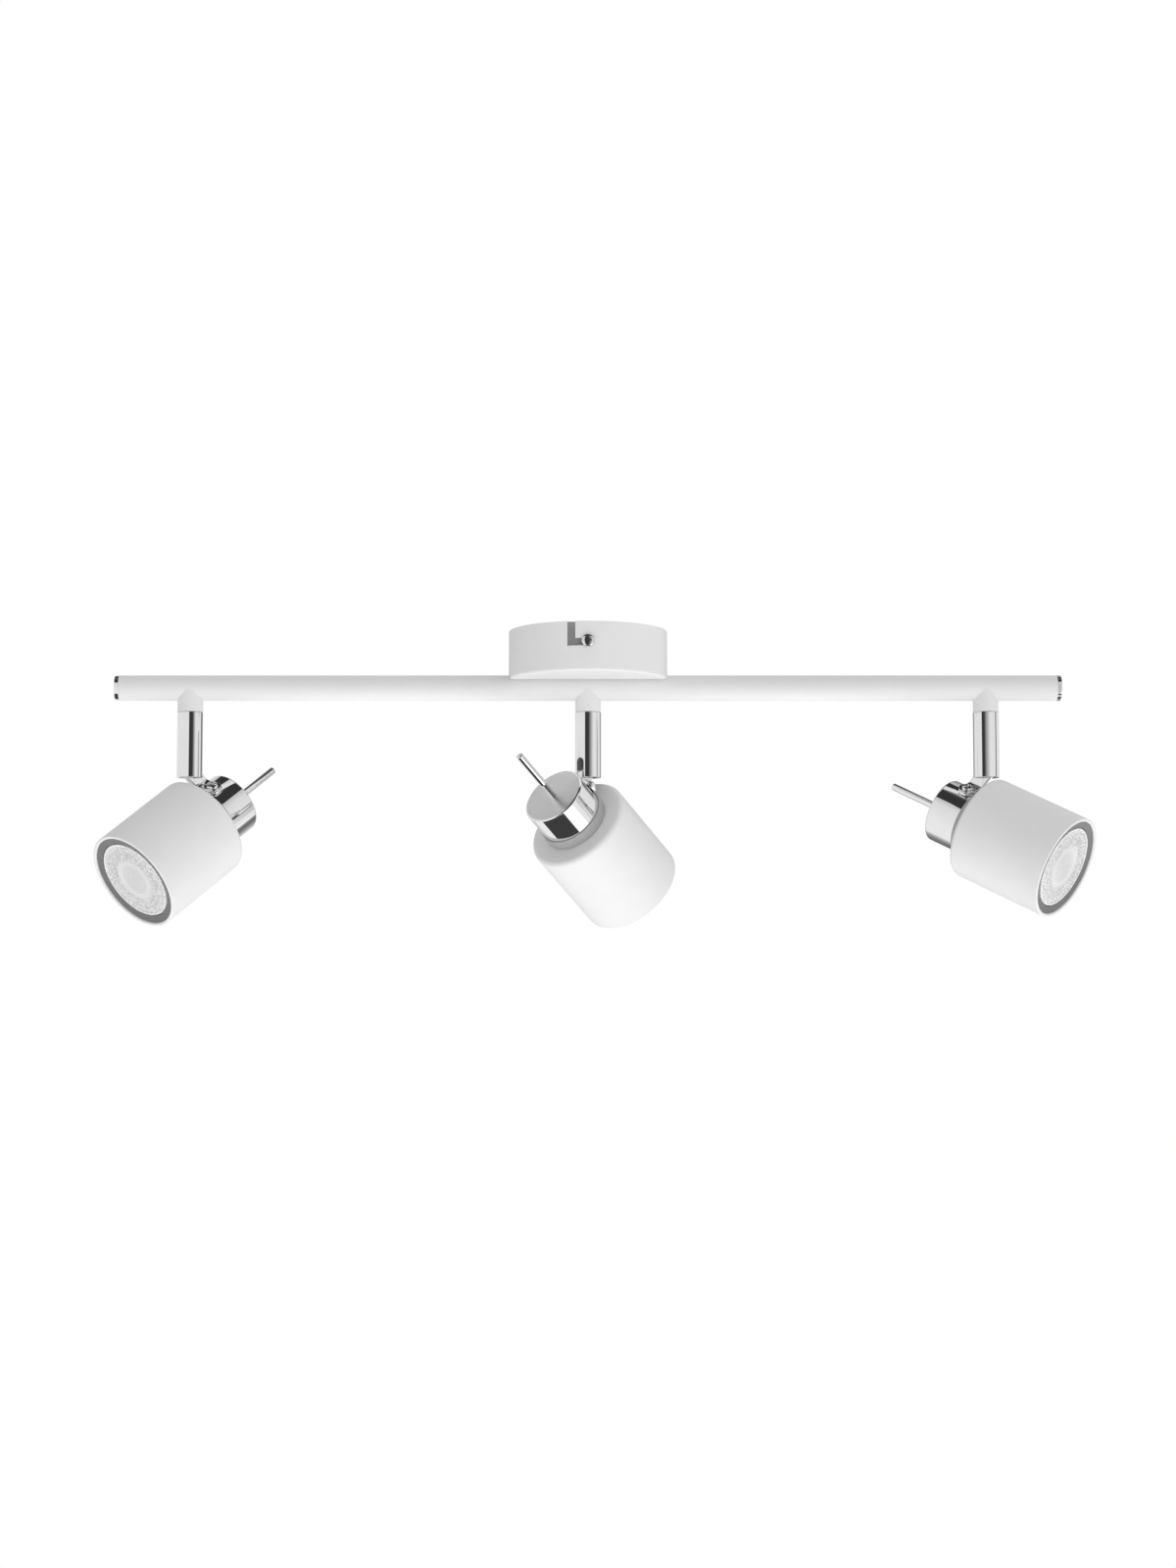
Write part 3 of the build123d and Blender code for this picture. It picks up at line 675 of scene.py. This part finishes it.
def shade_rings(arm, axis):
    """The neck ring between cup and shade, and the notched nut inside the shade."""
    node = f"shade_rings_{arm}"
    low, high = local_box(node, axis)
    bore = local_box(f"lampholder_cup_{arm}", axis)[1].x - 1.95
    rear = local_box(f"shade_{arm}", axis)[0].z
    neck_r, nut_r, nut_low = 19.2, high.x, high.z - 3.0
    mesh = bmesh.new()
    neck = [(bore, low.z, 0), (neck_r, low.z, 0.35), (neck_r, rear - 0.35, 0.1),
            (neck_r - 0.35, rear, 0.1), (bore, rear, 0)]
    nut = [(bore, nut_low, 0), (nut_r, nut_low, 0.15), (nut_r, high.z, 0.25), (bore, high.z, 0.15)]
    turn_outline(mesh, neck, FINE, closed=True)
    turn_outline(mesh, nut, FINE, closed=True)
    piece = add_piece(f"shade_rings_{arm}_turned", mesh, axis)
    for k in range(4):
        notch = box_tool((-25, -1, high.z - 1), (25, 1, high.z + 1))
        notch.matrix_world = axis @ Matrix.Rotation(k * QUARTER / 2, 4, "Z")
        cut(piece, notch)
    dress(piece, f"head_{arm}", "grey_metal", node)


def lamp_ring(arm, axis):
    """Grey retaining ring that slopes in from the shade's lip to the lens, and its skirt."""
    node = f"lamp_ring_{arm}"
    low, high = local_box(node, axis)
    outer, face, bore = high.x, high.z, 24.1
    back = face - 2.0
    outline = [(outer, face, 0.15), (outer, low.z, 0.1), (outer - 1.0, low.z, 0.1),
               (outer - 1.0, back, 0), (bore, back, 0), (bore, face - 0.9, 0.15)]
    piece = turned(f"ring_{arm}", outline, axis, FINE, closed=True)
    # a grey ring whose finish is darkened as painted shade from the lip
    dress(piece, f"head_{arm}", "grey_metal", node, finish=RING_GREY_WITH_PAINTED_SHADE)


def rod(arm, axis):
    node = f"handle_rod_{arm}"
    low, high = local_box(node, axis)
    radius = high.x
    rear = local_box(f"lampholder_cup_{arm}", axis)[0].z
    thread_r = 1.6
    outline = [(0, low.z, 0), (radius, low.z, 0.55), (radius, rear, 0), (thread_r, rear, 0),
               (thread_r, high.z, 0.2), (0, high.z, 0)]
    dress(turned(f"rod_{arm}", outline, axis, MEDIUM), f"head_{arm}", "chrome", node)


def lamp(arm, axis):
    """Housing with its rim, contact pins and an inner cone, closed by the lens."""
    node = f"lamp_housing_{arm}"
    low, high = local_box(node, axis)
    radius, face = high.x, high.z
    base, base_r = low.z + 7.0, 13.0
    seat = local_box(f"lamp_lens_{arm}", axis)
    lens_r, lens_back = seat[1].x, seat[0].z
    rim = face - 4.4
    outline = [(0, base, 0), (base_r, base, 0.6), (base_r, base + 12, 0), (base_r + 2.5, base + 14, 0),
               (radius, rim, 0.8), (radius, face, 0.35), (lens_r + 0.05, face, 0.15),
               (lens_r + 0.05, lens_back - 0.05, 0), (lens_r - 1.6, lens_back - 0.05, 0),
               (7.0, base + 24, 1.0), (0, base + 24, 0)]
    mesh = bmesh.new()
    turn_outline(mesh, outline, FINE, closed=False)
    for x in (-5.0, 5.0):
        before = len(mesh.verts)
        pin = [(0, low.z, 0), (2.4, low.z, 0.3), (2.4, low.z + 2.2, 0.2), (1.5, low.z + 2.2, 0),
               (1.5, base + 0.2, 0), (0, base + 0.2, 0)]
        turn_outline(mesh, pin, 32, closed=False)
        mesh.verts.ensure_lookup_table()
        for vertex in mesh.verts[before:]:
            vertex.co.x += x * MM
    dress(add_piece(f"lamp_{arm}", mesh, axis), f"head_{arm}", "lamp_plastic", node)


def lens_height(r, angle, radius):
    """Relief of the lens face, in millimetres below its highest plane."""
    dome = 0.5 * (r / radius) ** 2
    pebble_from, rings_from, border = 0.56 * radius, 0.22 * radius, 0.94 * radius
    if r > border:
        return dome * 0.3
    if r > pebble_from:
        row = (r - pebble_from) / 1.45
        around = 52 * angle + math.pi * (int(row) % 2)
        return dome + 0.22 * (1 - abs(math.sin(math.pi * row)) * abs(math.cos(around / 2)))
    if r > rings_from:
        return dome + 0.16 * (1 - math.cos(2 * math.pi * (r - rings_from) / 1.3)) / 2
    return dome + 0.10 * (1 - math.cos(2 * math.pi * r / 0.9) * math.cos(12 * angle)) / 2


def lens(arm, axis):
    """A clear moulded disc: pebbled outer field, concentric rings, and a fine centre."""
    node = f"lamp_lens_{arm}"
    low, high = local_box(node, axis)
    radius, face, back = high.x, high.z, low.z
    steps, rows = 416, 84
    mesh = bmesh.new()
    rings = [[mesh.verts.new((0, 0, back * MM))], ring(mesh, radius, back, steps),
             ring(mesh, radius, face - 0.4, steps), ring(mesh, radius - 0.12, face - 0.12, steps)]
    for k in range(rows):
        r = (radius - 0.4) * (1 - k / rows)
        row = ring(mesh, r, face, steps)
        for i, vertex in enumerate(row):
            vertex.co.z -= lens_height(r, 2 * math.pi * i / steps, radius) * MM
        rings.append(row)
    rings.append([mesh.verts.new((0, 0, (face - 0.05) * MM))])
    for lower, upper in zip(rings, rings[1:]):
        bridge(mesh, lower, upper)
    dress(add_piece(f"lens_{arm}", mesh, axis), f"head_{arm}", "lens_clear", node)


def fixings(arm, axis):
    """The bracket's domed screw with its washer, and the nut inside the cup."""
    node = f"bracket_fixings_{arm}"
    head = head_place(arm)
    low, high = local_box(node, head)
    lean = math.radians(27.0) * (1 if low.x + high.x > 0 else -1)
    cup_r = local_box(f"lampholder_cup_{arm}", axis)[1].x
    drop = (head.inverted() @ axis).translation.z
    foot = head @ Matrix.Translation((0, 2.4 * MM, drop)) @ Matrix.Rotation(lean, 4, "Y")

    def over(height):
        return foot @ Matrix.Translation((0, 0, (cup_r + height) * MM))

    washer = [(1.8, -0.6, 0.1), (5.0, -0.6, 0.15), (5.0, 0, 0.2), (1.8, 0, 0.1)]
    nut = [(1.9, 0, 0), (3.4, 0, 0.2), (3.4, 2.6, 0.2), (1.9, 2.6, 0)]
    for piece in (domed_screw(f"bracket_screw_{arm}", over(2.22), 3.3, 2.0, 1.75, 6.6),
                  turned(f"bracket_washer_{arm}", washer, over(2.22), MEDIUM, closed=True),
                  turned(f"bracket_nut_{arm}", nut, over(-4.05), 6, closed=True)):
        dress(piece, f"head_{arm}", "chrome", node)


# ---- CAD nodes that keep their own shape ----
KEPT = {
    "mounting_strip": "zinc_steel", "earth_screw": "brass",
    "terminal_block": "white_plastic", "terminal_screws": "brass", "wire_grommet": "black_rubber",
    "bar_fixing_screws": "zinc_steel", "bar_rivet_nuts": "zinc_steel", "bar_wires": "wire_sleeve",
}
KEPT_ON_ARMS = {
    "swivel_nipple": "brass", "swivel_nut": "brass", "hinge_yoke": "zinc_steel",
    "hinge_pin": "zinc_steel", "hinge_bracket": "chrome",
    "lampholder": "ceramic",
}


def keep(node, slot):
    """A better finish and softened edges on a CAD node. Its own mesh stays as it is."""
    piece = frame["nodes"][node]
    for place in piece.material_slots:
        place.material = FINISHES[slot]
    if not piece.material_slots:
        piece.data.materials.append(FINISHES[slot])
    weld = piece.modifiers.new("weld", "WELD")
    weld.merge_threshold = 0.002 * MM
    soften(piece, 0.3 if slot == "chrome" else 0.12)
    piece.data.shade_smooth()


# ---- studio ----
def plain(name, strength):
    """An evenly glowing material for the stage and the cards."""
    made = bpy.data.materials.new(name)
    made.use_nodes = True
    tree = made.node_tree
    tree.nodes.clear()
    glow = tree.nodes.new("ShaderNodeEmission")
    glow.inputs["Strength"].default_value = strength
    out = tree.nodes.new("ShaderNodeOutputMaterial")
    tree.links.new(glow.outputs["Emission"], out.inputs["Surface"])
    return made, tree, glow


def panel(name, corners, material):
    """A flat four-cornered sheet of the stage."""
    data = bpy.data.meshes.new(name)
    data.from_pydata(corners, [], [(0, 1, 2, 3)])
    data.materials.append(material)
    made = bpy.data.objects.new(name, data)
    bpy.context.scene.collection.objects.link(made)
    return made


def floor():
    """A pale floor well below the part, brightening to white in the distance."""
    reach, depth = 40.0, -1.5
    material, tree, glow = plain("pale_floor", 1.0)
    place = tree.nodes.new("ShaderNodeTexCoord").outputs["Object"]
    length = tree.nodes.new("ShaderNodeVectorMath")
    length.operation = "LENGTH"
    tree.links.new(place, length.inputs[0])
    share = tree.nodes.new("ShaderNodeMath")
    share.operation = "DIVIDE"
    share.inputs[1].default_value = 6.0
    tree.links.new(length.outputs["Value"], share.inputs[0])
    tone = ramp(tree, share.outputs["Value"], [(0.0, 0.93), (1.0, 1.0)])
    tree.links.new(tone, glow.inputs["Color"])
    made = panel("floor", [(-reach, -reach, 0), (reach, -reach, 0), (reach, reach, 0),
                           (-reach, reach, 0)], material)
    made.location.z = depth
    made.visible_diffuse = False
    made.visible_glossy = False
    made.visible_transmission = False


def graded_card(name, finish, ends, y, stops):
    """An upright card across X at the given depth, graded from its left edge to its right."""
    material, tree, glow = plain(finish, 1.0)
    place = tree.nodes.new("ShaderNodeTexCoord").outputs["Generated"]
    split = tree.nodes.new("ShaderNodeSeparateXYZ")
    tree.links.new(place, split.inputs["Vector"])
    tree.links.new(ramp(tree, split.outputs["X"], stops), glow.inputs["Color"])
    half_height = 0.6
    start, end = ends
    return panel(name, [(start, y, -half_height), (end, y, -half_height),
                        (end, y, half_height), (start, y, half_height)], material)


def reflected_cards():
    """Cards that draw the light and dark bands in the plating. Only reflections see them."""
    front = graded_card("front_card", "graded_card", (-0.24, 0.56), -0.47,
                        [(0.0, 0.035), (0.36, 0.045), (0.62, 0.42), (0.80, 0.66), (1.0, 0.86)])
    back = graded_card("back_card", "rear_card", (0.45, -0.20), 0.36,
                       [(0.0, 0.78), (0.15, 0.55), (0.37, 0.24), (0.46, 0.21), (0.57, 0.13),
                        (0.68, 0.21), (0.80, 0.26), (0.86, 0.50), (1.0, 0.78)])
    beside, near, far = 3.0, -0.24, 0.37
    side = panel("side_card", [(beside, far, -beside), (beside, near, -beside),
                               (beside, near, beside), (beside, far, beside)],
                 plain("grey_card", 0.15)[0])
    for card in (front, back, side):
        card.visible_camera = False
        card.visible_diffuse = False
        card.visible_transmission = False
        card.visible_shadow = False


def studio_light():
    """Soft white light all round, brighter from below and from the right. Reflections see white
    walls with a dark ceiling and a dark well straight below."""
    world = bpy.data.worlds.new("studio")
    bpy.context.scene.world = world
    world.use_nodes = True
    tree = world.node_tree
    tree.nodes.clear()
    link = tree.links.new
    direction = tree.nodes.new("ShaderNodeTexCoord").outputs["Generated"]
    split = tree.nodes.new("ShaderNodeSeparateXYZ")
    link(direction, split.inputs["Vector"])

    def dot(vector):
        made = tree.nodes.new("ShaderNodeVectorMath")
        made.operation = "DOT_PRODUCT"
        made.inputs[1].default_value = vector
        link(direction, made.inputs[0])
        return made.outputs["Value"]

    slope = maths(tree, "ADD", dot((0.195, -0.08, -0.405)), 0.70)
    poles = dot((0.079, 0.21, 0.813))
    soft = maths(tree, "ADD", slope, maths(tree, "MULTIPLY", poles, poles))

    rise = ramp(tree, maths(tree, "ADD", split.outputs["Y"], 0.5),
                [(0.0, 0.0), (0.50, 0.0), (0.65, 0.055), (1.0, 0.055)])
    height = tree.nodes.new("ShaderNodeMapRange")
    height.inputs["From Min"].default_value = -1.0
    link(maths(tree, "SUBTRACT", split.outputs["Z"], rise), height.inputs["Value"])
    level = height.outputs["Result"]
    walls = ramp(tree, level, [(0.0, 0.05), (0.075, 0.05), (0.085, 0.92), (0.36, 0.86),
                               (0.52, 0.82), (0.74, 0.76), (0.82, 0.62), (0.85, 0.56),
                               (0.858, 0.035), (0.985, 0.035), (0.997, 0.25)])
    pool = ramp(tree, level, [(0.0, 0.0), (0.075, 0.0), (0.10, 0.7), (0.26, 0.7), (0.31, 0.0)])
    right = ramp(tree, split.outputs["X"], [(0.0, 0.0), (0.20, 0.0), (0.34, 1.0), (1.0, 1.0)])
    walls = maths(tree, "ADD", walls, maths(tree, "MULTIPLY", pool, right))

    path = tree.nodes.new("ShaderNodeLightPath")
    mirror = tree.nodes.new("ShaderNodeMix")
    mirror.data_type = "RGBA"
    link(path.outputs["Is Glossy Ray"], mirror.inputs["Factor"])
    colours = [s for s in mirror.inputs if s.type == "RGBA"]
    link(soft, colours[0])
    link(walls, colours[1])
    shown = tree.nodes.new("ShaderNodeMix")
    shown.data_type = "RGBA"
    link(path.outputs["Is Camera Ray"], shown.inputs["Factor"])
    colours = [s for s in shown.inputs if s.type == "RGBA"]
    link(next(s for s in mirror.outputs if s.type == "RGBA"), colours[0])
    colours[1].default_value = (1.0, 1.0, 1.0, 1.0)
    light = tree.nodes.new("ShaderNodeBackground")
    link(next(s for s in shown.outputs if s.type == "RGBA"), light.inputs["Color"])
    out = tree.nodes.new("ShaderNodeOutputWorld")
    link(light.outputs["Background"], out.inputs["Surface"])


def camera():
    """Level with the part but a little below it, looking slightly up, through a long lens."""
    bar_low, bar_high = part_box("bar_tube")
    target = (bar_low + bar_high) / 2
    distance, below, tilt_up = 1.792, math.radians(7.22), math.radians(5.47)
    data = bpy.data.cameras.new("camera")
    data.lens = 72.0
    data.sensor_width = 36.0
    made = bpy.data.objects.new("camera", data)
    bpy.context.scene.collection.objects.link(made)
    made.location = target - distance * Vector((0, math.cos(below), math.sin(below)))
    made.rotation_euler = (QUARTER + tilt_up, 0, 0)
    bpy.context.scene.camera = made


camera()
studio_light()
floor()
reflected_cards()
bpy.context.scene.view_settings.view_transform = "Standard"

canopy()
side_screws()
bar()
for arm in ARMS:
    socket(arm)
    stem(arm)
    axis = axis_place(arm)
    shade(arm, axis)
    cup(arm, axis)
    rod(arm, axis)
    fixings(arm, axis)
    shade_rings(arm, axis)
    lamp(arm, axis)
    lens(arm, axis)
    lamp_ring(arm, axis)
    for part, slot in KEPT_ON_ARMS.items():
        keep(f"{part}_{arm}", slot)
for node, slot in KEPT.items():
    keep(node, slot)
